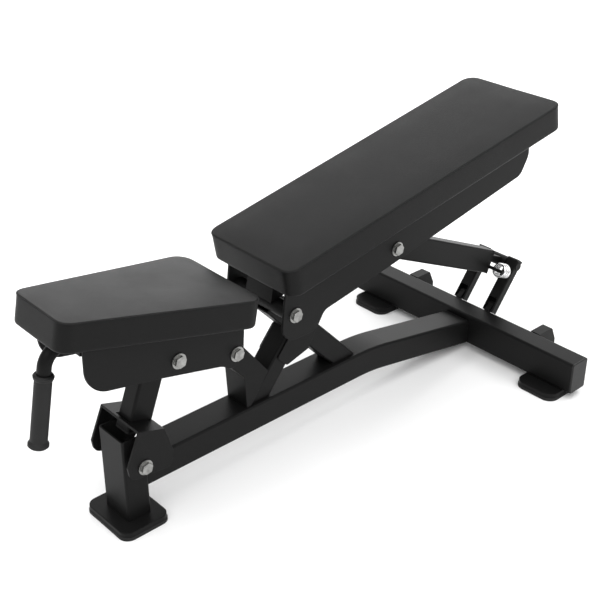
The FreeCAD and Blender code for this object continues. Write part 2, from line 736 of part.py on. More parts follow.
def spring(side):
    """Round-wire coil hooked on the strut's peg, in front of a link bar."""
    length = SPRING_LEN - 2 * SPRING_WIRE_R
    helix = Part.makeHelix(length / SPRING_TURNS, length, SPRING_R)
    wire = Part.Wire([Part.makeCircle(SPRING_WIRE_R, V(SPRING_R, 0, 0), V(0, 1, 0))])
    coil = Part.Wire(helix.Edges).makePipeShell([wire], True, True)
    coil.rotate(V(0, 0, 0), V(0, 1, 0), 90)
    coil.translate(V(PEG_R + SPRING_WIRE_R + 0.4, side * (LINK_Y[0] + LINK_Y[1]) / 2.0, -SPRING_DROP))
    return strut_place(coil)


def link_bar(side):
    """Square-ended tube; its front wall is open round the lower pivot, where the lug goes in."""
    lo, hi = span(side, *LINK_Y)
    middle = (lo + hi) / 2.0
    length = math.hypot(KNEE[0] - LINK_PIVOT[0], KNEE[1] - LINK_PIVOT[1])
    half = LINK_DEPTH / 2.0
    bar = box_tube(along(LINK_PIVOT, KNEE, -LINK_BELOW), along(LINK_PIVOT, KNEE, length + LINK_BEYOND),
                   LINK_DEPTH, hi - lo, WALL, 3.0)
    bar.translate(V(0, middle, 0))
    low = -LINK_BELOW - 1
    mouth = plate([along(LINK_PIVOT, KNEE, low, half + 1), along(LINK_PIVOT, KNEE, LINK_OPEN, half + 1),
                   along(LINK_PIVOT, KNEE, LINK_OPEN, half - WALL - 1),
                   along(LINK_PIVOT, KNEE, low, half - WALL - 1)], lo + WALL, hi - WALL)
    bar = bar.cut(mouth).cut(rod(LINK_PIVOT, LINK_PIN_R, lo - 1, hi + 1))
    boss = rod(KNEE, KNEE_AXLE_R + WALL, lo + 1, hi - 1)
    return bar.fuse(boss).cut(rod(KNEE, KNEE_AXLE_R, lo - 1, hi + 1)).removeSplitter()


def link_cap(side):
    lo, hi = span(side, *LINK_Y)
    length = math.hypot(KNEE[0] - LINK_PIVOT[0], KNEE[1] - LINK_PIVOT[1])
    half = LINK_DEPTH / 2.0
    top = length + LINK_BEYOND
    cap = plate([along(LINK_PIVOT, KNEE, top, half), along(LINK_PIVOT, KNEE, top, -half),
                 along(LINK_PIVOT, KNEE, top + CAP_T, -half) + (3.0,),
                 along(LINK_PIVOT, KNEE, top + CAP_T, half) + (3.0,)], lo, hi)
    return cap


def knee_axle():
    """Pin through the barrel and both bars, with a thin head at each end."""
    reach = LINK_Y[1]
    pin = rod(KNEE, KNEE_AXLE_R, -reach, reach)
    for lo in (-reach - KNEE_HEAD_T, reach):
        pin = pin.fuse(rod(KNEE, KNEE_HEAD_R, lo, lo + KNEE_HEAD_T))
    PARTS["knee_axle"] = pin.removeSplitter()


def link_lug(side):
    """Lug on the crossbar's rear face that goes into the link bar's open lower end."""
    face = CROSS_X[1]
    x, z = LINK_PIVOT
    middle = side * (LINK_Y[0] + LINK_Y[1]) / 2.0
    lo = middle - LUG_T / 2.0
    hi = middle + LUG_T / 2.0
    lug = plate([(face, z + LUG_ROOT[0]), (x, z - LUG_R), (x, z + LUG_R), (face, z + LUG_ROOT[1])], lo, hi)
    lug = lug.fuse(rod(LINK_PIVOT, LUG_R, lo, hi))
    return lug.cut(rod(LINK_PIVOT, LINK_PIN_R + FIT, lo - 1, hi + 1)).removeSplitter()


def link_pins():
    PARTS["link_pivot_pins"] = both_sides(lambda side: rod(LINK_PIVOT, LINK_PIN_R, *span(side, *LINK_Y)))


# ---------------------------------------------------------------- transport wheels

def wheel_bracket(side):
    top = FOOT_T + CROSS_H
    face = CROSS_X[1]
    profile = [(face, top), (BRACKET_TOP_REAR, top, 3.0), (BRACKET_REAR, 58.0, 10.0),
               (BRACKET_REAR, 24.0, 10.0), (1006.0, 20.0, 12.0), (face, 38.0)]
    outer = plate(profile, WHEEL_Y * side - BRACKET_HALF, WHEEL_Y * side + BRACKET_HALF)
    well = plate([(face - 1, top - BRACKET_T), (BRACKET_REAR + 20, top - BRACKET_T), (BRACKET_REAR + 20, -5),
                  (face - 1, -5)],
                 WHEEL_Y * side - BRACKET_HALF + BRACKET_T, WHEEL_Y * side + BRACKET_HALF - BRACKET_T)
    shape = outer.cut(well)
    return shape.cut(rod((WHEEL_X, WHEEL_Z), AXLE_R, WHEEL_Y * side - 20, WHEEL_Y * side + 20))


def wheel_axle(side):
    centre = (WHEEL_X, WHEEL_Z)
    middle = WHEEL_Y * side
    reach = BRACKET_HALF
    shape = rod(centre, AXLE_R, middle - reach, middle + reach)
    for lo in (middle - reach - 3.0, middle + reach):
        shape = shape.fuse(rod(centre, AXLE_R + 3.0, lo, lo + 3.0))
    return shape.removeSplitter()


def wheel_hub(side):
    centre = (WHEEL_X, WHEEL_Z)
    half = WHEEL_W / 2.0
    middle = WHEEL_Y * side
    hub = sleeve(centre, WHEEL_HUB_R, AXLE_R + FIT, middle - half, middle + half)
    for lo, hi in ((middle - half - 1, middle - half + 3), (middle + half - 3, middle + half + 1)):
        hub = hub.cut(sleeve(centre, WHEEL_HUB_R - 3.0, AXLE_R + 4.0, lo, hi))
    return hub


def wheel_tyre(side):
    centre = (WHEEL_X, WHEEL_Z)
    half = WHEEL_W / 2.0
    middle = WHEEL_Y * side
    tyre = sleeve(centre, WHEEL_R, WHEEL_HUB_R, middle - half, middle + half)
    rims = [e for e in tyre.Edges if isinstance(e.Curve, Part.Circle) and abs(e.Curve.Radius - WHEEL_R) < 0.01]
    return tyre.makeFillet(3.0, rims)


def build():
    front_foot()
    front_leg()
    saddle_bracket()
    leg_bolt()
    main_beam()
    rear_crossbar()
    rear_feet()
    hinge_brace()
    upright_tube()
    frame_gussets()
    seat_arm()
    hinge_sleeve("seat_hinge", SEAT_PIVOT, SEAT_SLEEVE_R, SEAT_SLEEVE_BORE, SEAT_PLATE_HALF - SHEET - GAP)
    hinge_sleeve("back_hinge", BACK_PIVOT, BACK_SLEEVE_R, BACK_SLEEVE_BORE, BACK_PLATE_HALF - SHEET - GAP)
    inner_seat = SEAT_PLATE_HALF - SHEET
    inner_back = BACK_PLATE_HALF - SHEET
    cushion("seat", SEAT_LEN, SEAT_PAD_H, SEAT_HALF_FRONT, SEAT_HALF_REAR, SEAT_TRAY + (inner_seat,), seat_place)
    cushion("back", BACK_LEN, BACK_PAD_H, BACK_HALF_FRONT, BACK_HALF_REAR, BACK_TRAY + (inner_back,), back_place)
    left_right("seat_side_plate", seat_plate)
    left_right("back_side_plate", back_plate)
    back_spine()
    cross_tube("back_cross_tube", *CROSS_TUBE_AT, inner_back, back_place)
    PARTS["seat_hinge_bolt_set"] = cross_bolt(SEAT_PIVOT, SEAT_PLATE_HALF)
    PARTS["post_pivot_bolt_set"] = cross_bolt(POST_PIVOT, SEAT_PLATE_HALF)
    PARTS["back_hinge_bolt_set"] = cross_bolt(BACK_PIVOT, BACK_PLATE_HALF)
    PARTS["strut_pivot_bolt_set"] = cross_bolt(STRUT_PIVOT, BACK_PLATE_HALF)
    seat_post()
    handle()
    strut()
    left_right("link_bar", link_bar)
    knee_axle()
    PARTS["link_caps"] = both_sides(link_cap)
    PARTS["link_lugs"] = both_sides(link_lug)
    link_pins()
    left_right("wheel_bracket", wheel_bracket)
    PARTS["wheel_axles"] = both_sides(wheel_axle)
    left_right("wheel_hub", wheel_hub)
    left_right("wheel_tyre", wheel_tyre)


def bounds(shapes):
    box = FreeCAD.BoundBox()
    for shape in shapes:
        box.add(shape.optimalBoundingBox(False))
    return box


def export():
    """Move everything so the origin is on the floor under the middle of the bench, then write it."""
    box = bounds(PARTS.values())
    shift = V(-box.Center.x, -box.Center.y, -box.ZMin)
    os.makedirs("parts", exist_ok=True)
    for name, shape in PARTS.items():
        moved = shape.copy()
        moved.translate(shift)
        moved.exportStep("parts/" + name + ".step")
    return shift


build()
SHIFT = export()
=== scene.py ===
import json
import math

import bmesh
import bpy
import numpy as np
from mathutils import Matrix, Vector
from mathutils.bvhtree import BVHTree
from mathutils.kdtree import KDTree


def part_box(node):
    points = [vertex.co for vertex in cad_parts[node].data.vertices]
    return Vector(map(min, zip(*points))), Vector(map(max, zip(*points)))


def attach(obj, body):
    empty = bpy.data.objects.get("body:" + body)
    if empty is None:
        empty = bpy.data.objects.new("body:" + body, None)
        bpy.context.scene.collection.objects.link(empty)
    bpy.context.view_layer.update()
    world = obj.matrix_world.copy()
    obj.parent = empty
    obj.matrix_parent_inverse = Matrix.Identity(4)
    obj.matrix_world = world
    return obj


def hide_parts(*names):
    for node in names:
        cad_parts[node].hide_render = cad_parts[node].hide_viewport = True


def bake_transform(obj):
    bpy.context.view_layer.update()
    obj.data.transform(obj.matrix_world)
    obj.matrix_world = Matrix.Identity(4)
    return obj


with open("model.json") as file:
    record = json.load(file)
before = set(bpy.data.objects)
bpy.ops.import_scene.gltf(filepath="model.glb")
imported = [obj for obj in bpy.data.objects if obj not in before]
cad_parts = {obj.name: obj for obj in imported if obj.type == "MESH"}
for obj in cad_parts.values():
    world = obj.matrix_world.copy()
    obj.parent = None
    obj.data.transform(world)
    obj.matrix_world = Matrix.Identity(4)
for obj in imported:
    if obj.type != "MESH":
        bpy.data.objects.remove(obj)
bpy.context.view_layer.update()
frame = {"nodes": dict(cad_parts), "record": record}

NODES = frame["nodes"]
SCENE = bpy.context.scene

# Metres. Lengths along X below are counted from the middle of the front foot.
FOOT_LOW, FOOT_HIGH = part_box("front_foot_rubber")
SHIFT_X = (FOOT_LOW[0] + FOOT_HIGH[0]) / 2.0


# ---------------------------------------------------------------- camera

CAMERA_SPOT = Vector((-0.8780 + SHIFT_X, -1.4453, 1.3807))
CAMERA_AZIMUTH = math.radians(-42.3)
CAMERA_HEIGHT = math.radians(28.9)
CAMERA_ROLL = math.radians(0.2)
CAMERA_LENS = 67.236


def make_camera():
    az = CAMERA_AZIMUTH
    el = CAMERA_HEIGHT
    back = Vector((math.sin(az) * math.cos(el), -math.cos(az) * math.cos(el), math.sin(el)))
    right = Vector((math.cos(az), math.sin(az), 0.0))
    up = back.cross(right)
    r = right * math.cos(CAMERA_ROLL) + up * math.sin(CAMERA_ROLL)
    u = up * math.cos(CAMERA_ROLL) - right * math.sin(CAMERA_ROLL)
    data = bpy.data.cameras.new("camera")
    data.sensor_width = 36.0
    data.lens = CAMERA_LENS
    data.clip_start = 0.05
    data.clip_end = 50.0
    obj = bpy.data.objects.new("camera", data)
    SCENE.collection.objects.link(obj)
    obj.matrix_world = Matrix((
        (r.x, u.x, back.x, CAMERA_SPOT.x),
        (r.y, u.y, back.y, CAMERA_SPOT.y),
        (r.z, u.z, back.z, CAMERA_SPOT.z),
        (0.0, 0.0, 0.0, 1.0)))
    SCENE.camera = obj


make_camera()


# ---------------------------------------------------------------- materials

class Shader:
    """A Principled material with helpers for building its nodes."""

    def __init__(self, name):
        self.mat = bpy.data.materials.new(name)
        self.mat.use_nodes = True
        self.tree = self.mat.node_tree
        self.bsdf = next(n for n in self.tree.nodes if n.type == "BSDF_PRINCIPLED")
        self.coord = self.tree.nodes.new("ShaderNodeTexCoord").outputs["Object"]

    def set(self, **values):
        for key, value in values.items():
            self.bsdf.inputs[key.replace("_", " ")].default_value = value
        return self

    def node(self, kind, **inputs):
        n = self.tree.nodes.new(kind)
        for key, value in inputs.items():
            socket = n.inputs[key.replace("_", " ")]
            if hasattr(value, "is_output"):
                self.tree.links.new(value, socket)
            else:
                socket.default_value = value
        return n

    def link(self, source, target):
        self.tree.links.new(source, self.bsdf.inputs[target])

    def noise(self, scale, detail=2.0, rough=0.5):
        n = self.node("ShaderNodeTexNoise", Vector=self.coord, Scale=scale, Detail=detail, Roughness=rough)
        return n.outputs["Fac"]

    def voronoi(self, scale, feature="F1"):
        n = self.node("ShaderNodeTexVoronoi", Vector=self.coord, Scale=scale)
        n.feature = feature
        return n.outputs["Distance"]

    def ramp(self, value, stops):
        n = self.node("ShaderNodeValToRGB", Fac=value)
        ramp = n.color_ramp
        while len(ramp.elements) < len(stops):
            ramp.elements.new(0.5)
        for element, (place, colour) in zip(ramp.elements, stops):
            element.position = place
            element.color = (*colour, 1.0)
        return n.outputs["Color"]

    def span(self, value, low, high, from_low=0.0, from_high=1.0):
        n = self.tree.nodes.new("ShaderNodeMapRange")
        self.tree.links.new(value, n.inputs["Value"])
        n.inputs["From Min"].default_value = from_low
        n.inputs["From Max"].default_value = from_high
        n.inputs["To Min"].default_value = low
        n.inputs["To Max"].default_value = high
        return n.outputs["Result"]

    def math(self, op, a, b):
        n = self.tree.nodes.new("ShaderNodeMath")
        n.operation = op
        for socket, value in zip(n.inputs, (a, b)):
            if hasattr(value, "is_output"):
                self.tree.links.new(value, socket)
            else:
                socket.default_value = value
        return n.outputs[0]

    def mix(self, fac, a, b):
        n = self.tree.nodes.new("ShaderNodeMix")
        n.data_type = "RGBA"
        for key, value in (("Factor", fac), ("A", a), ("B", b)):
            named = [s for s in n.inputs if s.name == key]
            socket = named[0] if key == "Factor" else next(s for s in named if s.type == "RGBA")
            if hasattr(value, "is_output"):
                self.tree.links.new(value, socket)
            else:
                socket.default_value = (*value, 1.0) if isinstance(value, tuple) else value
        return [s for s in n.outputs if s.type == "RGBA"][0]

    def bump(self, height, strength, distance, normal=None):
        n = self.node("ShaderNodeBump", Height=height, Strength=strength, Distance=distance)
        if normal is not None:
            self.tree.links.new(normal, n.inputs["Normal"])
        self.link(n.outputs["Normal"], "Normal")

    def rounded(self, radius):
        return self.node("ShaderNodeBevel", Radius=radius).outputs["Normal"]

    def edges(self, radius, sharp):
        """1 along sharp edges, 0 on flat faces."""
        soft = self.rounded(radius)
        flat = self.tree.nodes.new("ShaderNodeNewGeometry").outputs["True Normal"]
        n = self.tree.nodes.new("ShaderNodeVectorMath")
        n.operation = "DOT_PRODUCT"
        self.tree.links.new(soft, n.inputs[0])
        self.tree.links.new(flat, n.inputs[1])
        return self.span(n.outputs["Value"], 1.0, 0.0, sharp, 0.985)


def powder_coat(name, shade):
    s = Shader(name).set(Metallic=0.0, Specular_IOR_Level=0.11)
    cloudy = s.noise(4.0, 1.0)
    speck = s.noise(900.0, 1.0)
    worn = s.math("MULTIPLY", s.edges(0.0012, 0.8), s.span(s.noise(60.0, 4.0), 0.15, 0.6, 0.45, 0.7))
    base = s.mix(s.span(cloudy, 0.0, 1.0, 0.3, 0.7), (shade * 0.92,) * 3, (shade * 1.08,) * 3)
    s.link(s.mix(worn, base, (0.022, 0.022, 0.022)), "Base Color")
    s.link(s.span(s.math("ADD", cloudy, speck), 0.42, 0.46, 0.7, 1.3), "Roughness")
    skin = s.math("ADD", speck, s.math("MULTIPLY", s.voronoi(520.0), 0.6))
    s.bump(skin, 0.12, 0.0004, s.rounded(0.0010))
    return s.mat


def leather(name, shade):
    s = Shader(name).set(Metallic=0.0, Specular_IOR_Level=0.12)
    patch = s.noise(14.0, 4.0, 0.6)
    grain = s.voronoi(620.0, "DISTANCE_TO_EDGE")
    pore = s.noise(1500.0, 2.0)
    crease = s.noise(210.0, 3.0)
    base = s.mix(s.span(patch, 0.0, 1.0, 0.3, 0.7), (shade * 0.88,) * 3, (shade * 1.12,) * 3)
    # painted shade: the valleys of the grain are darkened towards shade * 0.45, as if shade falls in them
    painted_grain_shade = s.span(grain, 1.0, 0.0, 0.0, 0.12)
    s.link(s.mix(s.math("MULTIPLY", painted_grain_shade, 0.55), base, (shade * 0.45,) * 3), "Base Color")
    s.link(s.span(s.math("ADD", patch, s.math("MULTIPLY", pore, 0.5)), 0.40, 0.48, 0.5, 1.0), "Roughness")
    height = s.math("ADD", s.span(grain, 0.0, 1.0, 0.0, 0.2), s.math("MULTIPLY", crease, 0.5))
    s.bump(s.math("ADD", height, s.math("MULTIPLY", pore, 0.25)), 0.22, 0.0005)
    return s.mat


def zinc(name):
    s = Shader(name).set(Metallic=1.0)
    cloud = s.noise(90.0, 3.0)
    fine = s.noise(1400.0, 2.0)
    share = s.span(cloud, 0.0, 1.0, 0.3, 0.7)
    s.link(s.mix(share, (0.20, 0.20, 0.195), (0.34, 0.34, 0.33)), "Base Color")
    s.link(s.span(s.math("ADD", cloud, fine), 0.24, 0.38, 0.7, 1.3), "Roughness")
    s.bump(fine, 0.12, 0.0003, s.rounded(0.0008))
    return s.mat


def chrome(name):
    s = Shader(name).set(Metallic=1.0)
    fine = s.noise(700.0, 2.0)
    s.link(s.mix(fine, (0.78, 0.78, 0.79), (0.9, 0.9, 0.9)), "Base Color")
    s.link(s.span(fine, 0.07, 0.16), "Roughness")
    s.bump(fine, 0.05, 0.0002)
    return s.mat


def rubber(name, shade, rough):
    s = Shader(name).set(Metallic=0.0, Specular_IOR_Level=0.25)
    cloud = s.noise(25.0, 3.0)
    fine = s.noise(1100.0, 2.0)
    s.link(s.mix(cloud, (shade * 0.8,) * 3, (shade * 1.3,) * 3), "Base Color")
    s.link(s.span(fine, rough - 0.08, rough + 0.1), "Roughness")
    s.bump(fine, 0.25, 0.0004)
    return s.mat


def plastic(name, shade):
    s = Shader(name).set(Metallic=0.0, Specular_IOR_Level=0.28)
    fine = s.voronoi(900.0)
    cloud = s.noise(30.0, 2.0)
    s.link(s.mix(cloud, (shade * 0.85,) * 3, (shade * 1.2,) * 3), "Base Color")
    s.link(s.span(s.math("ADD", fine, cloud), 0.42, 0.55, 0.4, 1.4), "Roughness")
    s.bump(fine, 0.15, 0.0003, s.rounded(0.0006))
    return s.mat


def plywood(name):
    s = Shader(name).set(Metallic=0.0)
    stretched = s.node("ShaderNodeMapping", Vector=s.coord, Scale=(1.0, 14.0, 40.0)).outputs["Vector"]
    grain = s.node("ShaderNodeTexNoise", Vector=stretched, Scale=9.0, Detail=5.0).outputs["Fac"]
    s.link(s.ramp(grain, [(0.3, (0.20, 0.12, 0.06)), (0.7, (0.42, 0.29, 0.17))]), "Base Color")
    s.link(s.span(grain, 0.6, 0.8), "Roughness")
    s.bump(grain, 0.2, 0.0006)
    return s.mat


MATERIALS = {
    "frame_steel": powder_coat("satin_black_powder_coat", 0.0062),
    "zinc": zinc("bright_zinc"),
    "spring_chrome": chrome("bright_chrome"),
    "upholstery": leather("black_synthetic_leather", 0.0065),
    "board": plywood("plywood"),
    "rubber": rubber("black_rubber", 0.010, 0.58),
    "tyre": rubber("black_tyre", 0.012, 0.55),
    "plastic": plastic("black_plastic", 0.010),
}
SLOT_OF = {entry["node"]: entry["material_slot"] for entry in frame["record"]["subparts"]}

for node_name, node in NODES.items():
    slot_name = SLOT_OF[node_name]
    if not node.material_slots:
        node.data.materials.append(None)
    for material_slot in node.material_slots:
        material_slot.material = MATERIALS[slot_name]


# ---------------------------------------------------------------- pads

def tilted(origin, tilt):
    """Matrix from a pad's own frame (u, v, w) to the row frame."""
    return (Matrix.Translation(Vector((origin[0] + SHIFT_X, 0.0, origin[1])))
            @ Matrix.Rotation(math.radians(tilt), 4, "Y"))


# Steps round a pad's corner, along its long side and across its end.
ARC_STEPS = 7
LONG_RUN = 60
SHORT_RUN = 20
# The cover's plan corners and its edges before it swells.
PLAN_CORNER = 0.026
LEAST_CORNER = 0.003
EDGE_TOP = 0.0034
EDGE_BOTTOM = 0.005
SIDE_STEPS = 7
SHRINK = 0.0006
# How far the swollen cover may stand out.
TOP_SWELL = 0.0022
SIDE_SWELL = 0.0012
VOXEL = 0.006
LAST_FRAME = 20
# The welt sewn round the top edge.
WELT_DEPTH = 0.0006
WELT_R = 0.0011
WELT_STEP = 0.006


class Pad:
    """Foam block in a sewn cover: its own frame has u along it, v across, w up from its top face."""

    def __init__(self, name, origin, tilt, length, height, half_front, half_rear, body):
        self.name = name
        self.place = tilted(origin, tilt)
        self.length = length
        self.height = height
        self.half_front = half_front
        self.half_rear = half_rear
        self.body = body

    def outline(self, inset, corner):
        """Rounded plan outline, counter-clockwise, as (u, v) points."""
        a = self.half_front - inset
        b = self.half_rear - inset
        corners = [(inset, -a), (self.length - inset, -b), (self.length - inset, b), (inset, a)]
        arcs = []
        for i, (x, y) in enumerate(corners):
            p = Vector((x, y))
            before = (Vector(corners[i - 1]) - p).normalized()
            after = (Vector(corners[(i + 1) % 4]) - p).normalized()
            half = before.angle(after) / 2.0
            centre = p + (before + after).normalized() * (corner / math.sin(half))
            start = p + before * (corner / math.tan(half)) - centre
            end = p + after * (corner / math.tan(half)) - centre
            sweep = start.angle(end)
            arc = []
            for k in range(ARC_STEPS + 1):
                t = k / ARC_STEPS
                swung = start * math.sin((1 - t) * sweep) + end * math.sin(t * sweep)
                arc.append(centre + swung / math.sin(sweep))
            arcs.append(arc)
        points = []
        for i, arc in enumerate(arcs):
            points += arc
            following = arcs[(i + 1) % 4][0]
            count = (LONG_RUN, SHORT_RUN)[i % 2]
            points += [arc[-1].lerp(following, k / count) for k in range(1, count)]
        return points


SEAT = Pad("seat_cushion", (-0.1378, 0.4999), 11.4, 0.392, 0.054, 0.079, 0.124, "seat")
BACK = Pad("back_cushion", (0.3004, 0.4513), -10.75, 0.789, 0.057, 0.123, 0.131, "back")


def cap_grid(bm, ring):
    """Fill a pad's outline with even rows from its near long side to its far one."""
    side = 2 * ARC_STEPS + LONG_RUN + 1
    far_end = 2 * side + SHORT_RUN - 2
    rows = [[ring[0]] + ring[:far_end:-1] + [ring[far_end]]]
    for k in range(1, side - 1):
        near = ring[k]
        far = ring[far_end - k]
        inner = [bm.verts.new(near.co.lerp(far.co, m / SHORT_RUN)) for m in range(1, SHORT_RUN)]
        rows.append([near] + inner + [far])
    rows.append(ring[side - 1:side + SHORT_RUN])
    for low, high in zip(rows, rows[1:]):
        for m in range(SHORT_RUN):
            bm.faces.new((low[m], high[m], high[m + 1], low[m + 1]))


def ring_mesh(name, rings):
    """Closed mesh through a stack of rings of equal length."""
    bm = bmesh.new()
    loops = [[bm.verts.new(p) for p in ring] for ring in rings]
    count = len(loops[0])
    for low, high in zip(loops, loops[1:]):
        for i in range(count):
            j = (i + 1) % count
            bm.faces.new((low[i], low[j], high[j], high[i]))
    bm.faces.new(loops[0][::-1])
    cap_grid(bm, loops[-1])
    bmesh.ops.recalc_face_normals(bm, faces=bm.faces)
    mesh = bpy.data.meshes.new(name)
    bm.to_mesh(mesh)
    bm.free()
    return mesh


def start_shape(pad):
    """The cover before it swells: crisp along its top edge, a little small."""
    low = -pad.height
    high = -SHRINK
    wall = high - EDGE_TOP - low - EDGE_BOTTOM
    rings = [(SHRINK + EDGE_BOTTOM + 0.012, low)]
    for k in range(5):
        a = math.pi / 2 * k / 4
        rings.append((SHRINK + EDGE_BOTTOM * (1 - math.sin(a)), low + EDGE_BOTTOM * (1 - math.cos(a))))
    for k in range(1, SIDE_STEPS):
        rings.append((SHRINK, low + EDGE_BOTTOM + wall * k / SIDE_STEPS))
    for k in range(6):
        a = math.pi / 2 * k / 5
        rings.append((SHRINK + EDGE_TOP * (1 - math.cos(a)), high - EDGE_TOP * (1 - math.sin(a))))
    rings += [(SHRINK + EDGE_TOP + step, high) for step in (0.0025, 0.006, 0.011)]
    stack = []
    for inset, w in rings:
        corner = max(PLAN_CORNER - inset + SHRINK, LEAST_CORNER)
        stack.append([(p.x, p.y, w) for p in pad.outline(inset, corner)])
    return ring_mesh(pad.name, stack)


def apply_modifiers(obj):
    graph = bpy.context.evaluated_depsgraph_get()
    mesh = bpy.data.meshes.new_from_object(obj.evaluated_get(graph), depsgraph=graph)
    obj.modifiers.clear()
    old = obj.data
    obj.data = mesh
    bpy.data.meshes.remove(old)


def coords(mesh):
    out = np.empty(len(mesh.vertices) * 3)
    mesh.vertices.foreach_get("co", out)
    return out.reshape(-1, 3)


def set_coords(mesh, points):
    mesh.vertices.foreach_set("co", points.ravel())
    mesh.update()


def even_out(mesh, field, rounds):
    """Average a per-vertex field with its neighbours, so that no small wrinkle is left in it."""
    ends = np.empty(len(mesh.edges) * 2, dtype=np.int64)
    mesh.edges.foreach_get("vertices", ends)
    a, b = ends.reshape(-1, 2).T
    degree = np.bincount(ends, minlength=len(field))[:, None]
    for _ in range(rounds):
        total = np.zeros_like(field)
        for axis in range(3):
            total[:, axis] += np.bincount(a, field[b, axis], len(field))
            total[:, axis] += np.bincount(b, field[a, axis], len(field))
        field = 0.4 * field + 0.6 * total / degree
    return field


def add_cloth(copy):
    """Cloth under pressure, held where it is stapled to the board."""
    cloth = copy.modifiers.new("cloth", "CLOTH")
    cloth.settings.vertex_group_mass = "board"
    cloth.settings.quality = 5
    cloth.settings.mass = 0.3
    cloth.settings.tension_stiffness = 25.0
    cloth.settings.compression_stiffness = 25.0
    cloth.settings.bending_stiffness = 6.0
    cloth.settings.use_pressure = True
    cloth.settings.uniform_pressure_force = 4.0
    cloth.settings.effector_weights.gravity = 0.0
    cloth.collision_settings.use_collision = False
    cloth.point_cache.frame_start = 1
    cloth.point_cache.frame_end = LAST_FRAME


def sampled(field, places, points):
    """A field known at some places, read at other points from the five nearest."""
    tree = KDTree(len(places))
    for i, place in enumerate(places):
        tree.insert(place, i)
    tree.balance()
    out = []
    for point in points:
        near = tree.find_n(point, 5)
        weights = np.array([1.0 / (d + 5e-4) for _, _, d in near])
        out.append(weights @ field[[i for _, i, _ in near]] / weights.sum())
    return np.array(out)


def swell(mesh, pad):
    """Let a remeshed copy swell, and give each of mesh's points its movement."""
    copy = bpy.data.objects.new("cover", mesh.copy())
    SCENE.collection.objects.link(copy)
    remesh = copy.modifiers.new("remesh", "REMESH")
    remesh.mode = "VOXEL"
    remesh.voxel_size = VOXEL
    apply_modifiers(copy)
    before = coords(copy.data)
    group = copy.vertex_groups.new(name="board")
    group.add([int(i) for i in np.nonzero(before[:, 2] < -pad.height + 0.004)[0]], 1.0, "REPLACE")
    add_cloth(copy)
    SCENE.frame_start = 1
    SCENE.frame_end = LAST_FRAME
    for f in range(1, LAST_FRAME + 1):
        SCENE.frame_set(f)
    apply_modifiers(copy)
    SCENE.frame_set(1)
    move = even_out(copy.data, coords(copy.data) - before, 50)
    caps = np.where(before[:, 2] > -0.008, TOP_SWELL, SIDE_SWELL)[:, None]
    reach = np.linalg.norm(move, axis=1, keepdims=True) + 1e-9
    eased = even_out(copy.data, move / reach * caps * np.tanh(reach / caps), 30)
    out = sampled(eased, before, coords(mesh))
    bpy.data.objects.remove(copy)
    return out


def make_cushion(pad, node):
    mesh = start_shape(pad)
    set_coords(mesh, coords(mesh) + swell(mesh, pad))
    obj = bpy.data.objects.new(pad.name, mesh)
    SCENE.collection.objects.link(obj)
    divide = obj.modifiers.new("divide", "SUBSURF")
    divide.levels = 1
    divide.render_levels = 1
    apply_modifiers(obj)
    finish_mesh(obj, MATERIALS["upholstery"], pad.place)
    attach(obj, pad.body)
    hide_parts(node)
    return obj


def finish_mesh(obj, material, place=None):
    """Put a mesh in the row frame, shade it smooth and give it its material."""
    if place is not None:
        obj.data.transform(place)
    for poly in obj.data.polygons:
        poly.use_smooth = True
    obj.data.materials.clear()
    obj.data.materials.append(material)
    obj.data.update()


def surface_of(obj):
    points = [v.co.copy() for v in obj.data.vertices]
    faces = [tuple(p.vertices) for p in obj.data.polygons]
    return BVHTree.FromPolygons(points, faces)


def tube_mesh(name, path, radius, sides=8, closed=True):
    """Round cord through a list of points."""
    bm = bmesh.new()
    count = len(path)
    rings = []
    up = Vector((0, 0, 1))
    for i, p in enumerate(path):
        before = path[i - 1] if closed or i > 0 else p
        after = path[(i + 1) % count] if closed or i < count - 1 else p
        along = (after - before).normalized()
        side = along.cross(up)
        side = side.normalized() if side.length > 1e-4 else Vector((1, 0, 0))
        lift = side.cross(along).normalized()
        ring = []
        for k in range(sides):
            a = 2 * math.pi * k / sides
            ring.append(bm.verts.new(p + (side * math.cos(a) + lift * math.sin(a)) * radius))
        rings.append(ring)
    for i in range(count if closed else count - 1):
        low = rings[i]
        high = rings[(i + 1) % count]
        for k in range(sides):
            j = (k + 1) % sides
            bm.faces.new((low[k], low[j], high[j], high[k]))
    if not closed:
        bm.faces.new(rings[0][::-1])
        bm.faces.new(rings[-1])
    bmesh.ops.recalc_face_normals(bm, faces=bm.faces)
    mesh = bpy.data.meshes.new(name)
    bm.to_mesh(mesh)
    bm.free()
    return mesh


def resample(points, step):
    """Even spacing round a closed outline."""
    total = sum((points[i] - points[i - 1]).length for i in range(len(points)))
    count = int(total / step)
    spacing = total / count
    out = []
    carried = 0.0
    for i in range(len(points)):
        a = points[i - 1]
        b = points[i]
        run = (b - a).length
        while carried <= run and len(out) < count:
            out.append(a.lerp(b, carried / run) if run > 0 else a.copy())
            carried += spacing
        carried -= run
    return out


def make_welt(pad, cushion):
    """Welt sewn round the cover's top edge, laid on the cushion's real surface."""
    surface = surface_of(cushion)
    plan = pad.outline(WELT_DEPTH, PLAN_CORNER - WELT_DEPTH)
    path = []
    for p in resample(plan, WELT_STEP):
        spot = pad.place @ Vector((p.x, p.y, -WELT_DEPTH))
        hit, normal, _, _ = surface.find_nearest(spot)
        path.append(hit + normal * WELT_R * 0.45)
    name = pad.name + "_welt_top"
    obj = bpy.data.objects.new(name, tube_mesh(name, path, WELT_R))
    SCENE.collection.objects.link(obj)
    finish_mesh(obj, MATERIALS["upholstery"])
    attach(obj, pad.body)


SEAT_CUSHION = make_cushion(SEAT, "seat_pad")
BACK_CUSHION = make_cushion(BACK, "back_pad")
make_welt(SEAT, SEAT_CUSHION)
make_welt(BACK, BACK_CUSHION)


# ---------------------------------------------------------------- knee springs

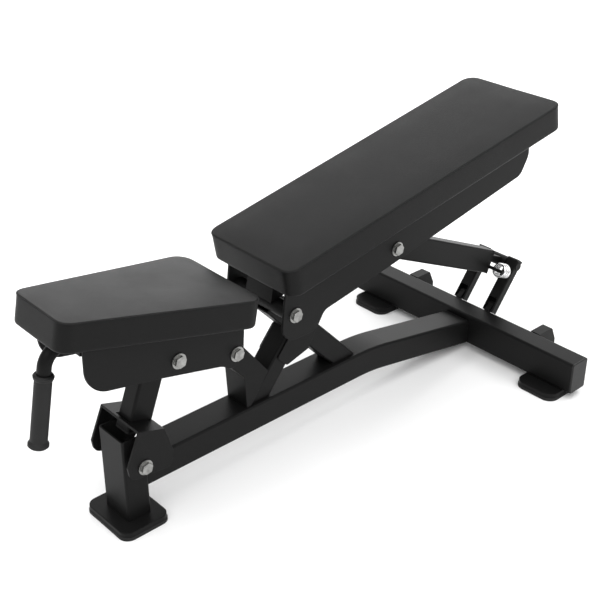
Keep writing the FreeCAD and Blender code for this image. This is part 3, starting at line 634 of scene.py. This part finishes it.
KNEE = Vector((1.074 + SHIFT_X, 0.0, 0.180))
STRUT_PIVOT = Vector((0.622 + SHIFT_X, 0.0, 0.386))
COIL_R = 0.0155
COIL_WIRE_R = 0.0025
COIL_LEN = 0.026
COIL_START = 0.0044
COIL_TURNS = 3.0
COIL_CLOSED = 0.7
COIL_ALL_TURNS = COIL_TURNS + 2 * COIL_CLOSED
COIL_STEPS = 96
COIL_DROP = 0.019
COIL_Y = 0.0435
SEAT_TO_KNEE = 0.054


def make_springs():
    """Two fixed coils by the knee, wound along the line from the strut's pivot to the knee."""
    ahead = (KNEE - STRUT_PIVOT).normalized()
    up = Vector((0, 1, 0)).cross(ahead) * -1.0
    root = KNEE - ahead * SEAT_TO_KNEE - up * COIL_DROP
    meshes = []
    for side in (-1.0, 1.0):
        middle = root + Vector((0, side * COIL_Y, 0))
        path = []
        for k in range(COIL_STEPS + 1):
            t = k / COIL_STEPS
            a = 2 * math.pi * COIL_ALL_TURNS * t
            rise = min(max((COIL_ALL_TURNS * t - COIL_CLOSED) / COIL_TURNS, 0.0), 1.0)
            reach = COIL_START + COIL_WIRE_R + (COIL_LEN - 2 * COIL_WIRE_R) * rise
            out = up * math.cos(a) + Vector((0, side, 0)) * math.sin(a)
            path.append(middle + ahead * reach + out * COIL_R)
        meshes.append(tube_mesh("coil", path, COIL_WIRE_R, 12, closed=False))
    bm = bmesh.new()
    for mesh in meshes:
        bm.from_mesh(mesh)
        bpy.data.meshes.remove(mesh)
    joined = bpy.data.meshes.new("knee_coils")
    bm.to_mesh(joined)
    bm.free()
    obj = bpy.data.objects.new("knee_coils", joined)
    SCENE.collection.objects.link(obj)
    finish_mesh(obj, MATERIALS["spring_chrome"])
    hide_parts("knee_springs")
    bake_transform(obj)


make_springs()


# ---------------------------------------------------------------- floor and light

FLOOR_HALF = 8
WORLD_POWER = 0.55
OVERHEAD_POWER = 3.4
OVERHEAD_SPREAD = math.radians(92.0)
OVERHEAD_FROM = Vector((-0.10, -0.20, 1.0))
BACKDROP_SPOT = Vector((2.6, 2.8, 1.3))
BACKDROP_AIM = Vector((0.0, 0.0, 0.35))
BACKDROP_SIZE = (4.5, 2.2)
BACKDROP_POWER = 70.0


def make_floor():
    mesh = bpy.data.meshes.new("floor")
    f = FLOOR_HALF
    mesh.from_pydata([(-f, -f, 0), (f, -f, 0), (f, f, 0), (-f, f, 0)], [], [(0, 1, 2, 3)])
    obj = bpy.data.objects.new("floor", mesh)
    SCENE.collection.objects.link(obj)
    s = Shader("pale_floor").set(Roughness=0.9, Specular_IOR_Level=0.1)
    speck = s.noise(3.0, 2.0)
    s.link(s.mix(speck, (0.90, 0.90, 0.90), (0.92, 0.92, 0.92)), "Base Color")
    mesh.materials.append(s.mat)


def make_backdrop():
    """Wide soft light behind the bench."""
    data = bpy.data.lights.new("backdrop", "AREA")
    data.shape = "RECTANGLE"
    data.size = BACKDROP_SIZE[0]
    data.size_y = BACKDROP_SIZE[1]
    data.energy = BACKDROP_POWER
    obj = bpy.data.objects.new("backdrop", data)
    SCENE.collection.objects.link(obj)
    aim = (BACKDROP_AIM - BACKDROP_SPOT).to_track_quat("-Z", "Y")
    obj.matrix_world = Matrix.Translation(BACKDROP_SPOT) @ aim.to_matrix().to_4x4()


def make_overhead():
    """Very soft light from above."""
    sun = bpy.data.lights.new("overhead", "SUN")
    sun.energy = OVERHEAD_POWER
    sun.angle = OVERHEAD_SPREAD
    obj = bpy.data.objects.new("overhead", sun)
    SCENE.collection.objects.link(obj)
    obj.matrix_world = OVERHEAD_FROM.to_track_quat("Z", "Y").to_matrix().to_4x4()


def make_world():
    world = bpy.data.worlds.new("studio")
    SCENE.world = world
    world.use_nodes = True
    background = next(n for n in world.node_tree.nodes if n.type == "BACKGROUND")
    background.inputs["Color"].default_value = (1.0, 1.0, 1.0, 1.0)
    background.inputs["Strength"].default_value = WORLD_POWER


SCENE.view_settings.view_transform = "Standard"
SCENE.view_settings.look = "None"
make_floor()
make_world()
make_overhead()
make_backdrop()
